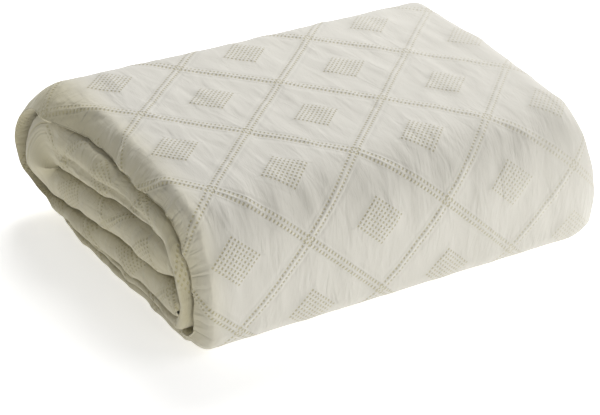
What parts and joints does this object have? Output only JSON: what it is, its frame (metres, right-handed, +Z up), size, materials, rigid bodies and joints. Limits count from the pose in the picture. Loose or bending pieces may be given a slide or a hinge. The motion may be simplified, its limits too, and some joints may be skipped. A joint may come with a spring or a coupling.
{
  "type": "bedspread",
  "caption": "Quilted bedspread folded into a soft rectangular block, stitched all over with diamonds that each hold a small diamond.",
  "frame": {"origin": "on the surface it rests on, under the middle of the block's bounding box", "axes": "+X along the block's longest side, from the end with the folded noses seen in the picture to the other end; +Y from the rounded front face to the back; +Z up"},
  "size_m": [0.5884, 0.4004, 0.171],
  "materials": {
    "quilted_cloth": "matt ivory quilted cotton"
  },
  "bodies": {
    "root": {"bedspread": "quilted_cloth"}
  },
  "joints": []
}
